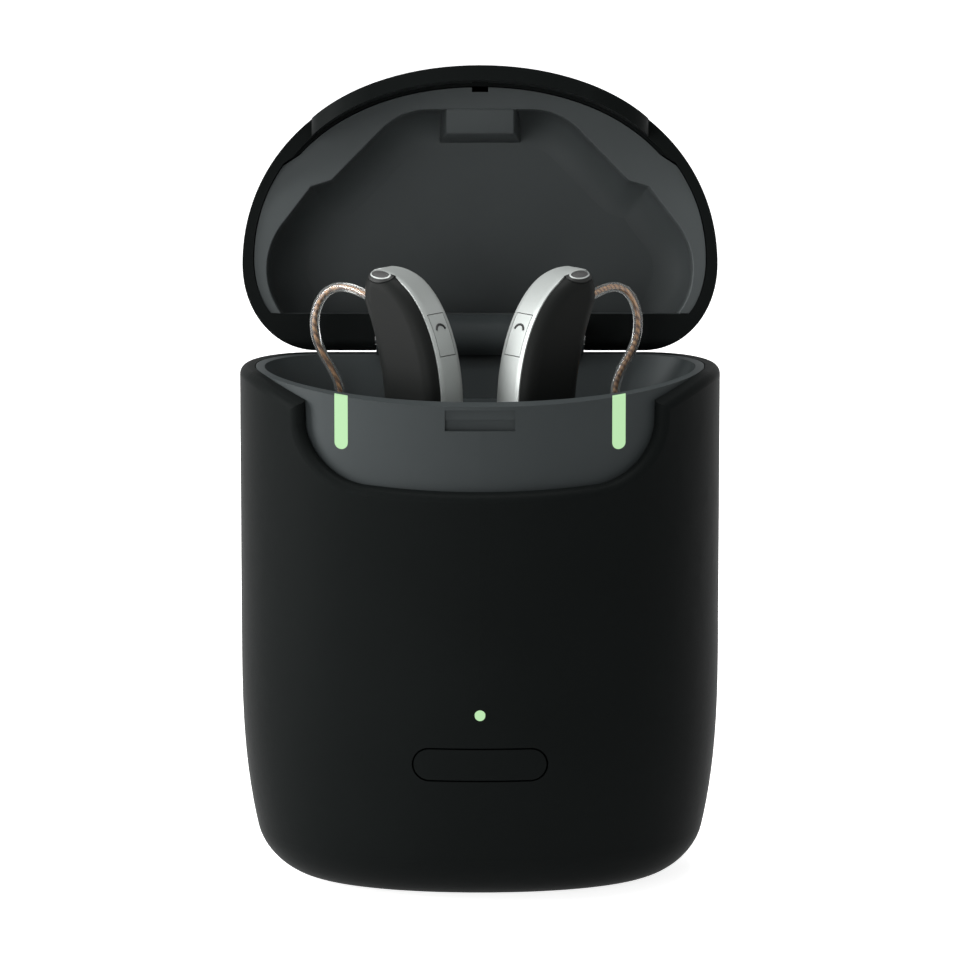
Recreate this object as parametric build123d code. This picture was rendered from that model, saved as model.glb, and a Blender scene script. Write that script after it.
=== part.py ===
from build123d import *
import os
from math import cos, hypot, radians, sin, sqrt, tan

os.makedirs("parts", exist_ok=True)

# Everything is in millimetres. +Z is up, the front faces -Y, and the origin is the centre of the base.

# Outline of the case, seen from above: a flat back, rounded corners and a full round front.
WIDTH = 70.0
DEPTH = 41.5
BACK_FLAT = 48.0
WAIST = 8.0  # how far behind the centre the outline is widest
FULLNESS = 0.565  # share of each rounding's handle, 0.552 gives a quarter of an ellipse
FRONT_FULLNESS = 0.59

# Heights of the case.
RIM_HEIGHT = 75.0
LID_HEIGHT = 20.3
PARTING_GAP = 0.3

# Outer shell.
SHELL_WALL = 2.2
SHELL_FLOOR = 2.6
BASE_HEIGHT = 0.4  # the shell's own base, over the foot pad's face
BASE_ROUND = 6.5
BASE_DRAFT = 4.2  # how far the sides draw in towards the base
DRAFT_HEIGHT = 36.0
DRAFT_POWER = 3.0
EDGE_ROUND = 1.3

# Curved top edge of the shell and the scoop in its front.
WAVE_START = 1.0
WAVE_RADIUS = 28.0
SCOOP_HALF = 25.6
SCOOP_SIDE_FOOT = 69.0
SCOOP_BOTTOM = 60.7
SCOOP_CORNER = 2.0
SCOOP_LEAN = 0.7  # how much wider the scoop is at the rim than at the foot of its sides
SCOOP_TURN = 1.1
SCOOP_FLAT = 10.0
SCOOP_SAG = 0.55
SCOOP_BACK = -4.0

# Hinge.
HINGE_FROM_BACK = 1.7
HINGE_ABOVE_RIM = 2.0
OPEN_ANGLE = 98.0
KNUCKLE_LENGTH = 30.5
KNUCKLE_RADIUS = 3.6
KNUCKLE_CLEARANCE = 0.25
PIN_DIAMETER = 1.6
PIN_LENGTH = 42.0
PIN_CLEARANCE = 0.05

# Lid.
LID_WALL = 1.6
LID_FRONT_WALL = 2.6
TONGUE_WALL = 2.15
FRONT_WALL_END = 12.7  # the thicker front wall ends this far behind the front
FRONT_WALL_SIDE = 8.1  # and this far in from the side, where its ends turn outwards
FRONT_WALL_SLOPE = 0.63
LID_TOP_ROUND = 12.5
LID_RAIL_DEPTH = 5.4
LID_RAIL_HEIGHT = 4.0
LID_RAIL_END = 31.0
LINER_CLEARANCE = 0.15
LINER_CEILING = 2.4
LINER_RIM = 0.6  # the liner's rim over the case's rim with the lid closed
LINER_BACK_WALL = 1.7
HOLLOW_ROUND = 3.5

# Corners of the lid's hollow on its right half, as distances in from the case's side and front.
LOBE_BACK_WALL = 5.7
LOBE_SIDE_WALL = 3.6
LOBE_MIDDLE = 30.1
LOBE_SHOULDER = (6.3, 22.3)
LOBE_CORNER = (10.1, 17.35)
LOBE_JOINT = (13.1, 16.4)
CENTRE_LOBE_SIDE = (20.4, 8.95)
CENTRE_LOBE_TURN = (23.7, 6.7)
CENTRE_LOBE_FRONT = (27.6, 5.95)

# Latch block on the liner and catch nub on the tongue.
LATCH_WIDTH = 10.0
LATCH_FROM_FRONT = 9.5
LATCH_SET_IN = 2.5  # how far the latch block's end lies over the case's rim
LATCH_DRAFT = 5.0
NOTCH_DEPTH = 0.7
NOTCH_LENGTH = 2.4
NUB_WIDTH = 2.3
NUB_DEPTH = 0.25
NUB_HEIGHT = 1.1
NUB_LEVEL = 71.0

# Tray.
TRAY_INSET = SHELL_WALL + 0.15
TRAY_LAND = 1.3
TRAY_WAVE_START = 3.0
TRAY_WAVE_RADIUS = 110.0
TRAY_SKIRT_FOOT = 56.0
BOWL_FLOOR = 65.5
BOWL_FOOT_INSET = 7.5
DECK_THICKNESS = 2.0
SKIRT_WALL = 1.5
BOWL_ROUND = 2.5
CRADLE_TOP = 70.0
CRADLE_HALF = 16.5
CRADLE_FRONT = -9.0
CRADLE_BACK = 8.0
CRADLE_ROUND = 3.0
CRADLE_EDGE = 1.0
WELL_CLEARANCE = 0.35
WELL_FLOOR = 1.5
WELL_EAR_SIDE = 3.95
FOOT_HALF = 12.0
FOOT_FROM_HINGE = 1.6
FOOT_WIDTH = 0.6
FOOT_DEPTH = 2.0
RECESS_WIDTH = 10.0
RECESS_TOP = 72.4
RECESS_STEP = 71.0
RECESS_BOTTOM = 69.4
RECESS_SHALLOW = 0.5
RECESS_DEEP = 0.9
TROUGH_CLEARANCE = 0.3

# Lights and the pairing button.
BAR_CENTRE = 19.8
BAR_WIDTH = 1.9
BAR_FOOT = 66.1
BAR_THICKNESS = 0.8
STEM_DIAMETER = 1.4
STEM_X = 18.5
STEM_LEVEL = 67.6
STEM_FOOT = 59.0
LIGHT_CLEARANCE = 0.05
STATUS_HEIGHT = 28.7
STATUS_DIAMETER = 1.5
COLLAR_THICKNESS = 0.8
BUTTON_HEIGHT = 21.4
BUTTON_LENGTH = 19.0
BUTTON_WIDTH = 4.5
BUTTON_GROOVE = 0.25
BUTTON_TRAVEL = 0.5
BUTTON_FLANGE = 1.2
BUTTON_THICKNESS = 5.75

# Hearing aids, with the profile seen from the side: across from the ear side to the spine, and up.
AID_TIP_X = -15.7
AID_TIP_Y = 5.0
AID_YAW = 38.0
AID_TOP = 89.75
AID_WAIST = 70.0  # height of the spine's greatest reach
AID_FOOT = 60.3
AID_REACH = 14.9
AID_CROWN = 2.8
AID_NECK = 0.8
AID_NECK_TOP = 86.6
AID_NECK_FOOT = 85.0
AID_HOLLOW_X = 3.5
AID_HOLLOW_HEIGHT = 77.0
AID_FOOT_CENTRE = 9.6
AID_EAR_SIDE = 4.6
AID_EAR_HEIGHT = 66.0
AID_THICKNESS = 8.0
AID_EDGE = 2.3
SPINE_WIDTH = 4.9
SPINE_PROUD = 0.15
SPINE_DEPTH = 0.75
SPINE_CLEARANCE = 0.05
SPINE_TIP = 1.6
SPINE_TIP_WIDTH = 2.4
SPINE_TAPER_END = 7.5
AID_BUTTON_SHARE = 0.56  # how far down the spine the button's middle lies
AID_BUTTON_HEIGHT = 6.2
AID_BUTTON_WIDTH = 3.4
AID_BUTTON_DEPTH = 1.6
AID_BUTTON_CLEARANCE = 0.12
AID_BUTTON_TRAVEL = 0.3
PORT_X = 4.0
PORT_Y = -2.75
PORT_BELOW_TOP = 0.75
PORT_OUT = (0, -0.6, 0.8)
PORT_LENGTH = 2.9
PORT_WIDTH = 1.5
PORT_RING = 0.7
PORT_DEPTH = 1.2
PORT_SUNK = 0.1
WIRE_DIAMETER = 1.5
RECEIVER_DIAMETER = 3.2
RECEIVER_LENGTH = 5.4
RECEIVER_EDGE = 0.4
RECEIVER_BACK = (-20.9, 8.0, 67.9)
SNOUT_DIAMETER = 1.3
SNOUT_LENGTH = 3.4
WIRE_SEAT = 1.0
WIRE_POINTS = (
    (-14.3, 4.0, 84.0),
    (-18.9, 7.8, 86.6),
    (-23.4, 10.6, 85.2),
    (-24.8, 11.0, 79.0),
    (-21.3, 12.1, 71.6),
    (-20.9, 11.6, 67.9),
    (-20.9, 7.0, 67.9),
)
BEND_SHARE = 0.45
DOME_DIAMETER = 6.0
DOME_LENGTH = 4.2
DOME_WALL = 0.5

# Pieces inside.
CAVITY_FOOT = BASE_HEIGHT + SHELL_FLOOR
BOARD_THICKNESS = 1.2
MAIN_BOARD_Y = -9.0
MAIN_BOARD_HALF = 20.0
MAIN_BOARD_FOOT = 9.0
BOARD_EDGE = 2.0  # from the main board's side to its screws
BOARD_BLOCK = 4.4
MAIN_BOARD_TOP = 54.0
SWITCH_SIZE = 6.0
SWITCH_DEPTH = 3.5
PLUNGER_DIAMETER = 2.4
BATTERY_WIDTH = 44.0
BATTERY_DEPTH = 9.0
BATTERY_HEIGHT = 34.0
BATTERY_FOOT = 12.3
BATTERY_ROUND = 2.0
BATTERY_GAP = 0.3
BATTERY_SIDE_GAP = 0.9
SHELF_THICKNESS = 1.5
SHELF_REACH = 3.0
FRAME_WALL = 1.6
FRAME_BACK = 8.0
FRAME_FRONT = -5.5
FRAME_FOOT = 5.0
FRAME_TOP = 52.0
FRAME_WINDOW = 28.0
FRAME_WINDOW_FOOT = 20.0
FRAME_WINDOW_TOP = 42.0
WING_DEPTH = 6.0
POST_HEIGHT = 2.5
SOCKET_WIDTH = 8.94
SOCKET_HEIGHT = 3.16
SOCKET_LENGTH = 7.4
SOCKET_CENTRE = 10.5
SOCKET_SHELL = 0.3
SOCKET_GAP = 0.15
SOCKET_BACK = 1.0
TONGUE_WIDTH = 6.6
TONGUE_THICKNESS = 0.7
TONGUE_SHORT = 1.0
PORT_BOARD_HALF = 9.0
PORT_BOARD_SHORT = 3.9
PORT_SHELF = 1.6
FLEX_HALF = 3.0
FLEX_THICKNESS = 0.3
FLEX_TAIL = 2.5
FLEX_RISE = 7.0
FLEX_SLOT = 0.5
FLEX_SLOT_HEIGHT = 1.2
LED_SIZE = 1.6
LED_HEIGHT = 1.0
CONTACT_TOP = 57.7
CONTACT_INSET = 4.6
CONTACT_PIN = 0.9
PIN_PITCH = 2.2
PIN_GAP = 0.1
POST_DIAMETER = 5.0
POST_BORE = 6.0
SIDE_POST_IN = 9.0
SIDE_POST_Y = 3.0
BACK_POST_HALF = 15.0
BACK_POST_IN = 9.25
FRONT_POST_IN = 7.75
PAD_INSET = 12.6
PAD_THICKNESS = 1.2
SCREW_DIAMETER = 2.0
SCREW_HEAD = 3.6
SCREW_HEAD_HEIGHT = 1.2
SEAT_GAP = 0.05
BASE_SCREW_PLACES = (-10.0, 10.0)
BASE_SCREW_HEAD = 2.5
BASE_SCREW_LENGTH = 4.0
BOARD_SCREW_HEIGHTS = (14.0, 48.0)
BOARD_SCREW_LENGTH = 4.5
TRAY_SCREW_LENGTH = 6.5

SIDE_FACE = WIDTH / 2
FRONT_FACE = -DEPTH / 2
BACK_FACE = DEPTH / 2
HINGE_Y = BACK_FACE - HINGE_FROM_BACK
HINGE_Z = RIM_HEIGHT + HINGE_ABOVE_RIM
LID_TOP = RIM_HEIGHT + LID_HEIGHT
FAR = 60.0  # past every side of the case
TOUCHING = 0.02  # edges nearer than this lie on the same line
BATTERY_BACK = FRAME_BACK - FRAME_WALL - BATTERY_GAP
BATTERY_TOP = BATTERY_FOOT + BATTERY_HEIGHT
FRAME_HALF = BATTERY_WIDTH / 2 + BATTERY_SIDE_GAP + FRAME_WALL
BOARD_FRONT = MAIN_BOARD_Y - BOARD_THICKNESS / 2
BOARD_BACK = MAIN_BOARD_Y + BOARD_THICKNESS / 2
BUTTON_BACK = FRONT_FACE + BUTTON_THICKNESS
PLUNGER_END = BOARD_FRONT - SWITCH_DEPTH - BUTTON_TRAVEL - SEAT_GAP * 4
SOCKET_FACE = BACK_FACE - SHELL_WALL - SEAT_GAP * 2
SOCKET_FRONT = SOCKET_FACE - SOCKET_LENGTH
PORT_BOARD_BACK = SOCKET_FACE - PORT_BOARD_SHORT
PORT_BOARD_TOP = SOCKET_CENTRE - SOCKET_HEIGHT / 2 - SEAT_GAP
PORT_BOARD_FOOT = PORT_BOARD_TOP - BOARD_THICKNESS
BOARD_SCREW_HALF = MAIN_BOARD_HALF - BOARD_EDGE
BOARD_SCREW_PLACES = [(side * BOARD_SCREW_HALF, z) for z in BOARD_SCREW_HEIGHTS for side in (-1, 1)]
SIDE_POSTS = [(side * (SIDE_FACE - SIDE_POST_IN), SIDE_POST_Y) for side in (-1, 1)]
DECK_POSTS = [
    (-BACK_POST_HALF, BACK_FACE - BACK_POST_IN),
    (BACK_POST_HALF, BACK_FACE - BACK_POST_IN),
    (0.0, FRONT_FACE + FRONT_POST_IN),
]
POSTS = [(x, y, FRAME_TOP + SEAT_GAP) for x, y in SIDE_POSTS]
POSTS += [(x, y, CONTACT_TOP + SEAT_GAP) for x, y in DECK_POSTS]


def bend(start, corner, end, fullness=FULLNESS):
    """A quarter turn from start to end that leaves and arrives along the sides of corner."""
    near = tuple(s + (c - s) * fullness for s, c in zip(start, corner))
    away = tuple(e + (c - e) * fullness for e, c in zip(end, corner))
    return Bezier(start, near, away, end)


def outline(inset, height):
    """The case's D-shaped section at a height, drawn in from its outside by inset."""
    half_width = WIDTH / 2 - inset
    half_depth = DEPTH / 2 - inset
    flat = BACK_FLAT / WIDTH * half_width
    waist = WAIST * half_depth / (DEPTH / 2)
    edges = [
        Line((-flat, half_depth), (flat, half_depth)),
        bend((flat, half_depth), (half_width, half_depth), (half_width, waist)),
        bend((half_width, waist), (half_width, -half_depth), (0, -half_depth), FRONT_FULLNESS),
        bend((0, -half_depth), (-half_width, -half_depth), (-half_width, waist), FRONT_FULLNESS),
        bend((-half_width, waist), (-half_width, half_depth), (-flat, half_depth)),
    ]
    return Pos(0, 0, height) * make_face(edges)


def front_at(x, inset):
    """Where the front of the outline, drawn in by inset, stands at a distance from the middle."""
    half_width = SIDE_FACE - inset
    half_depth = DEPTH / 2 - inset
    waist = WAIST * half_depth / (DEPTH / 2)
    curve = bend((half_width, waist), (half_width, -half_depth), (0, -half_depth), FRONT_FULLNESS)
    low, high = 0.0, 1.0
    while high - low > 1e-6:
        middle = (low + high) / 2
        if (curve @ middle).X > x:
            low = middle
        else:
            high = middle
    return (curve @ low).Y


def prism(inset, low, high):
    """The case's outline as an upright block between two heights."""
    return extrude(outline(inset, low), high - low, dir=(0, 0, 1))


def body_inset(height):
    """How far the outside of the body stands in at a height over its own base."""
    draft = BASE_DRAFT * max(0.0, 1 - height / DRAFT_HEIGHT) ** DRAFT_POWER
    if height >= BASE_ROUND:
        return draft
    return draft + BASE_ROUND - sqrt(BASE_ROUND**2 - (BASE_ROUND - height) ** 2)


def body_block(wall, foot):
    """The body's form from its foot to past the rim, drawn in by a wall."""
    turns = [BASE_ROUND * (1 - cos(radians(angle))) for angle in (0, 18, 36, 54, 72, 90)]
    rounding = loft([outline(wall + body_inset(step), foot + step) for step in turns])
    steps = [BASE_ROUND] + [share * DRAFT_HEIGHT for share in (0.32, 0.5, 0.74, 1)]
    sides = loft([outline(wall + body_inset(step), foot + step) for step in steps])
    return rounding + sides + prism(wall, foot + DRAFT_HEIGHT, RIM_HEIGHT + 1)


def lid_block(wall):
    """The lid's form from under the scoop to its crown, drawn in by a wall."""
    turn = LID_TOP_ROUND - wall
    start = LID_TOP - LID_TOP_ROUND
    angles = (0, 15, 30, 45, 60, 75, 90)
    sections = [
        outline(wall + turn * (1 - cos(radians(angle))), start + turn * sin(radians(angle)))
        for angle in angles
    ]
    return prism(wall, SCOOP_BOTTOM - 1, start) + loft(sections)


def side_cut(points_and_curves, half_width):
    """A side profile in Y and Z as a block that spans the case."""
    face = Plane.YZ * make_face(points_and_curves)
    return extrude(face, half_width, both=True)


def front_cut(edges, front, back):
    """A front profile in X and Z as a block between two depths."""
    face = Plane.XZ * make_face(edges)
    return Pos(0, back, 0) * extrude(face, back - front)


def box_between(low, high):
    """A block from its lowest to its highest corner."""
    size = [b - a for a, b in zip(low, high)]
    middle = [(a + b) / 2 for a, b in zip(low, high)]
    return Pos(*middle) * Box(*size)


def rod(diameter, start, end):
    """A round bar between two points."""
    direction = Vector(*end) - Vector(*start)
    plane = Plane(origin=start, z_dir=direction)
    return extrude(plane * Circle(diameter / 2), direction.length)


def parting_space(raise_by):
    """Everything over the curved parting line of shell and lid, raised by a gap."""
    wave_end = FRONT_FACE - 1
    drop = WAVE_START - wave_end
    level = RIM_HEIGHT + raise_by
    radius = WAVE_RADIUS - raise_by
    low = level - radius + sqrt(radius**2 - drop**2)
    middle = drop / 2
    roof = LID_TOP + 5
    wave = [
        Line((FAR, level), (WAVE_START, level)),
        ThreePointArc(
            (WAVE_START, level),
            (WAVE_START - middle, level - radius + sqrt(radius**2 - middle**2)),
            (wave_end, low),
        ),
        Line((wave_end, low), (-FAR, low)),
        Line((-FAR, low), (-FAR, roof)),
        Line((-FAR, roof), (FAR, roof)),
        Line((FAR, roof), (FAR, level)),
    ]
    top = SCOOP_HALF - raise_by
    foot = top - SCOOP_LEAN
    flat = top - SCOOP_FLAT
    bottom = SCOOP_BOTTOM + raise_by
    side = SCOOP_SIDE_FOOT
    corner = (foot - SCOOP_TURN, bottom + SCOOP_SAG)
    mirrored = (-corner[0], corner[1])
    scoop = [
        Line((top, LID_TOP), (foot, side)),
        bend((foot, side), corner, (flat, bottom + SCOOP_SAG)),
        ThreePointArc((flat, bottom + SCOOP_SAG), (0, bottom), (-flat, bottom + SCOOP_SAG)),
        bend((-flat, bottom + SCOOP_SAG), mirrored, (-foot, side)),
        Line((-foot, side), (-top, LID_TOP)),
        Line((-top, LID_TOP), (top, LID_TOP)),
    ]
    space = side_cut(wave, FAR) + front_cut(scoop, -FAR, SCOOP_BACK)
    corners = [
        edge
        for edge in space.edges().filter_by(Axis.Y)
        if foot - 1 < abs(edge.center().X) < top and edge.center().Z < RIM_HEIGHT
    ]
    return fillet(corners, SCOOP_CORNER)


def tray_top_space():
    """Everything over the tray's gently falling rim."""
    reach = TRAY_WAVE_START + FAR / 2
    middle = reach / 2
    radius = TRAY_WAVE_RADIUS
    profile = [
        Line((FAR, RIM_HEIGHT), (TRAY_WAVE_START, RIM_HEIGHT)),
        ThreePointArc(
            (TRAY_WAVE_START, RIM_HEIGHT),
            (TRAY_WAVE_START - middle, RIM_HEIGHT - radius + sqrt(radius**2 - middle**2)),
            (TRAY_WAVE_START - reach, RIM_HEIGHT - radius + sqrt(radius**2 - reach**2)),
        ),
        Line(
            (TRAY_WAVE_START - reach, RIM_HEIGHT - radius + sqrt(radius**2 - reach**2)),
            (TRAY_WAVE_START - reach, LID_TOP),
        ),
        Line((TRAY_WAVE_START - reach, LID_TOP), (FAR, LID_TOP)),
        Line((FAR, LID_TOP), (FAR, RIM_HEIGHT)),
    ]
    return side_cut(profile, FAR)


def stadium(length, width):
    """A slot shape with round ends, lying along X."""
    return SlotOverall(length, width)


def through_front(sketch, height, front, back):
    """A sketch in X and Z, pushed from one depth to another at a height on the front."""
    return Pos(0, back, height) * extrude(Plane.XZ * sketch, back - front)


def lip_edges(block, lowest):
    """The edges of a cut block that run round its outside, above a height."""
    rim = outline(0, 0).wire()
    found = []
    for edge in block.edges():
        middle = edge @ 0.5
        start, end = edge @ 0, edge @ 1
        upright = hypot(start.X - end.X, start.Y - end.Y) < TOUCHING
        outside = rim.distance_to(Vector(middle.X, middle.Y, 0)) < TOUCHING
        if middle.Z > lowest and outside and not upright:
            found.append(edge)
    return found


def outer_shell():
    """The black body: a deep cup with a curved rim, a front scoop and a rounded lip."""
    block = body_block(0, BASE_HEIGHT) - parting_space(0)
    block = fillet(lip_edges(block, SCOOP_BOTTOM - 1), EDGE_ROUND)
    cup = block - body_block(SHELL_WALL, CAVITY_FOOT)
    button_hole = stadium(BUTTON_LENGTH + 2 * BUTTON_GROOVE, BUTTON_WIDTH + 2 * BUTTON_GROOVE)
    cup -= through_front(button_hole, BUTTON_HEIGHT, -FAR, BUTTON_BACK)
    cup -= rod(STATUS_DIAMETER + 2 * SEAT_GAP, (0, -FAR, STATUS_HEIGHT), (0, BUTTON_BACK, STATUS_HEIGHT))
    port = stadium(SOCKET_WIDTH + 2 * SOCKET_GAP, SOCKET_HEIGHT + 2 * SOCKET_GAP)
    cup -= through_front(port, SOCKET_CENTRE, SOCKET_FRONT, FAR)
    cup -= prism(PAD_INSET - SEAT_GAP, -1, PAD_THICKNESS + SEAT_GAP)
    for x in BASE_SCREW_PLACES:
        cup -= screw((x, 0, BASE_SCREW_HEAD), (0, 0, 1), BASE_SCREW_LENGTH, SEAT_GAP)
    return cup


def foot_pad():
    """The rubber pad in the recess of the base."""
    return prism(PAD_INSET, 0, PAD_THICKNESS)


def screw(seat, direction, length, gap=0):
    """A screw from under its head's seat, with an optional gap all round for its hole."""
    along = Vector(*direction)
    head_end = Vector(*seat) - along * (SCREW_HEAD_HEIGHT + gap)
    tip = Vector(*seat) + along * (length + gap)
    head = rod(SCREW_HEAD + 2 * gap, tuple(head_end), seat)
    return head + rod(SCREW_DIAMETER + 2 * gap, seat, tuple(tip))


def bar_profile(side, grow=0):
    """The front of a light bar in X and Z: square above, round at its foot."""
    middle = side * BAR_CENTRE
    half = BAR_WIDTH / 2 + grow
    knee = BAR_FOOT + BAR_WIDTH / 2
    return [
        Line((middle - half, LID_TOP), (middle - half, knee)),
        ThreePointArc((middle - half, knee), (middle, knee - half), (middle + half, knee)),
        Line((middle + half, knee), (middle + half, LID_TOP)),
        Line((middle + half, LID_TOP), (middle - half, LID_TOP)),
    ]


def stem_depth():
    """How deep a light bar's stem and its LED stand: just behind the tray's skirt."""
    skirt = front_at(STEM_X + LED_SIZE / 2, TRAY_INSET + SKIRT_WALL)
    return skirt + PARTING_GAP + LED_SIZE / 2


def bar_stem(side, grow=0):
    """The light guide behind a bar, which goes back and then down to its LED."""
    front = front_at(BAR_CENTRE, TRAY_INSET + BAR_THICKNESS / 2)
    face = (side * BAR_CENTRE, front, STEM_LEVEL)
    turn = (side * STEM_X, stem_depth(), STEM_LEVEL)
    foot = (side * STEM_X, stem_depth(), STEM_FOOT - grow)
    width = STEM_DIAMETER + 2 * grow
    return rod(width, face, turn) + Pos(*turn) * Sphere(width / 2) + rod(width, turn, foot)


def light_bar(side):
    """A pale light bar, flush with the tray's front, with its stem."""
    skin = prism(TRAY_INSET, BAR_FOOT - 1, RIM_HEIGHT) - prism(
        TRAY_INSET + BAR_THICKNESS, BAR_FOOT - 2, RIM_HEIGHT + 1
    )
    bar = (skin & front_cut(bar_profile(side), -FAR, 0)) - tray_top_space()
    stem = bar_stem(side) - prism_ring(TRAY_INSET + BAR_THICKNESS / 2)
    return bar + stem


def prism_ring(inset):
    """All that lies outside the case's outline drawn in by inset, at the tray's height."""
    return prism(-5, TRAY_SKIRT_FOOT, RIM_HEIGHT + 2) - prism(
        inset, TRAY_SKIRT_FOOT - 1, RIM_HEIGHT + 3
    )


def well(grow=0):
    """The space for an aid's lower end in the tray, with upright walls, in the aid's frame."""
    spine = AID_REACH + WELL_CLEARANCE + grow
    ear = WELL_EAR_SIDE - grow
    foot = AID_FOOT - WELL_CLEARANCE - grow
    top = RIM_HEIGHT
    edges = [
        Line((spine, top), (spine, AID_WAIST)),
        bend((spine, AID_WAIST), (spine, foot), (AID_FOOT_CENTRE, foot)),
        bend((AID_FOOT_CENTRE, foot), (ear, foot), (ear, AID_EAR_HEIGHT)),
        Line((ear, AID_EAR_HEIGHT), (ear, top)),
        Line((ear, top), (spine, top)),
    ]
    half = AID_THICKNESS / 2 + WELL_CLEARANCE + grow
    return front_cut(edges, -half, half)


def beside(shape, side):
    """A left-hand piece as it stands, or its mirror image on the right."""
    return shape if side < 0 else mirror(shape, about=Plane.YZ)


def at_aid(shape, side):
    """A piece built in the aid's own frame, set into its well."""
    return beside(Pos(AID_TIP_X, AID_TIP_Y, 0) * Rot(0, 0, -AID_YAW) * shape, side)


def charging_tray():
    """The grey tray: land, bowl, skirt, cradle with two wells, latch recess and light slots."""
    tray = prism(TRAY_INSET, TRAY_SKIRT_FOOT, RIM_HEIGHT + 1) - tray_top_space()
    slope = (BOWL_FOOT_INSET - TRAY_INSET - TRAY_LAND) / (RIM_HEIGHT - BOWL_FLOOR)
    bowl = loft(
        [outline(BOWL_FOOT_INSET, BOWL_FLOOR), outline(TRAY_INSET + TRAY_LAND - slope, RIM_HEIGHT + 1)]
    )
    bowl = fillet(bowl.edges().group_by(Axis.Z)[0], BOWL_ROUND)
    tray -= bowl
    tray -= prism(TRAY_INSET + SKIRT_WALL, TRAY_SKIRT_FOOT - 1, BOWL_FLOOR - DECK_THICKNESS)
    cradle = box_between(
        (-CRADLE_HALF, CRADLE_FRONT, BOWL_FLOOR - 1), (CRADLE_HALF, CRADLE_BACK, CRADLE_TOP)
    )
    cradle = fillet(cradle.edges().filter_by(Axis.Z), CRADLE_ROUND)
    cradle = fillet(cradle.edges().group_by(Axis.Z)[-1], CRADLE_EDGE)
    tray += cradle
    below = box_between((-FAR, -FAR, 0), (FAR, FAR, CRADLE_TOP - 2 * CRADLE_EDGE))
    for side in (-1, 1):
        tray += at_aid(well(WELL_FLOOR), side) & below
    for side in (-1, 1):
        tray -= at_aid(well(), side)
        tray -= beside(contact_pins(PIN_GAP), side)
        tray -= front_cut(bar_profile(side, LIGHT_CLEARANCE), -FAR, 0) & prism_ring(
            TRAY_INSET + BAR_THICKNESS + LIGHT_CLEARANCE
        )
        tray -= bar_stem(side, LIGHT_CLEARANCE)
    for x, y, foot in POSTS:
        post = rod(POST_DIAMETER, (x, y, foot), (x, y, BOWL_FLOOR - 1))
        tray += post
        tray -= rod(SCREW_DIAMETER + 2 * SEAT_GAP, (x, y, foot - 1), (x, y, foot + POST_BORE))
    tray -= box_between(
        (-RECESS_WIDTH / 2, FRONT_FACE, RECESS_STEP),
        (RECESS_WIDTH / 2, FRONT_FACE + TRAY_INSET + RECESS_SHALLOW, RECESS_TOP),
    )
    tray -= box_between(
        (-RECESS_WIDTH / 2, FRONT_FACE, RECESS_BOTTOM),
        (RECESS_WIDTH / 2, FRONT_FACE + TRAY_INSET + RECESS_DEEP, RECESS_STEP),
    )
    x, back, level = RECEIVER_BACK
    trough = rod(
        DOME_DIAMETER + 2 * TROUGH_CLEARANCE,
        (-x, back + TROUGH_CLEARANCE, level),
        (-x, back - RECEIVER_LENGTH - DOME_LENGTH - PARTING_GAP - TROUGH_CLEARANCE, level),
    )
    tray -= trough + mirror(trough, about=Plane.YZ)
    return tray - knuckle_foot(SEAT_GAP)


def knuckle_foot(grow=0):
    """The blade under the knuckle that stands in a slot of the tray's back rim."""
    front = HINGE_Y - FOOT_FROM_HINGE
    return box_between(
        (-FOOT_HALF - grow, front - grow, RIM_HEIGHT - FOOT_DEPTH - grow),
        (FOOT_HALF + grow, front + FOOT_WIDTH + grow, RIM_HEIGHT + 1),
    )


def hinge_rod(radius, half_length):
    """A round bar along the hinge's axis."""
    return rod(2 * radius, (-half_length, HINGE_Y, HINGE_Z), (half_length, HINGE_Y, HINGE_Z))


def hinge_knuckle():
    """The grey barrel on the tray's back rim, which holds the pin."""
    barrel = hinge_rod(KNUCKLE_RADIUS, KNUCKLE_LENGTH / 2)
    barrel &= box_between((-FAR, 0, RIM_HEIGHT + SEAT_GAP), (FAR, BACK_FACE, LID_TOP))
    barrel += knuckle_foot()
    return barrel - hinge_rod(PIN_DIAMETER / 2, FAR)


def hinge_pin():
    """The steel pin through the knuckle and both rails of the lid."""
    return hinge_rod(PIN_DIAMETER / 2, PIN_LENGTH / 2)


def opened(shape):
    """A piece built on the closed lid, turned with it to the open rest position."""
    return (
        Pos(0, HINGE_Y, HINGE_Z) * Rot(-OPEN_ANGLE, 0, 0) * Pos(0, -HINGE_Y, -HINGE_Z) * shape
    )


def front_zone():
    """The part of the lid whose wall is thicker, seen from above, as an upright block."""
    end = FRONT_FACE + FRONT_WALL_END
    side = SIDE_FACE - FRONT_WALL_SIDE
    far_end = end + FRONT_WALL_SLOPE * (FAR - side)
    plan = [(-FAR, -FAR), (FAR, -FAR), (FAR, far_end), (side, end), (-side, end), (-FAR, far_end)]
    return extrude(make_face(Polyline(*plan, close=True)), 2 * LID_TOP, dir=(0, 0, 1))


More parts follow.
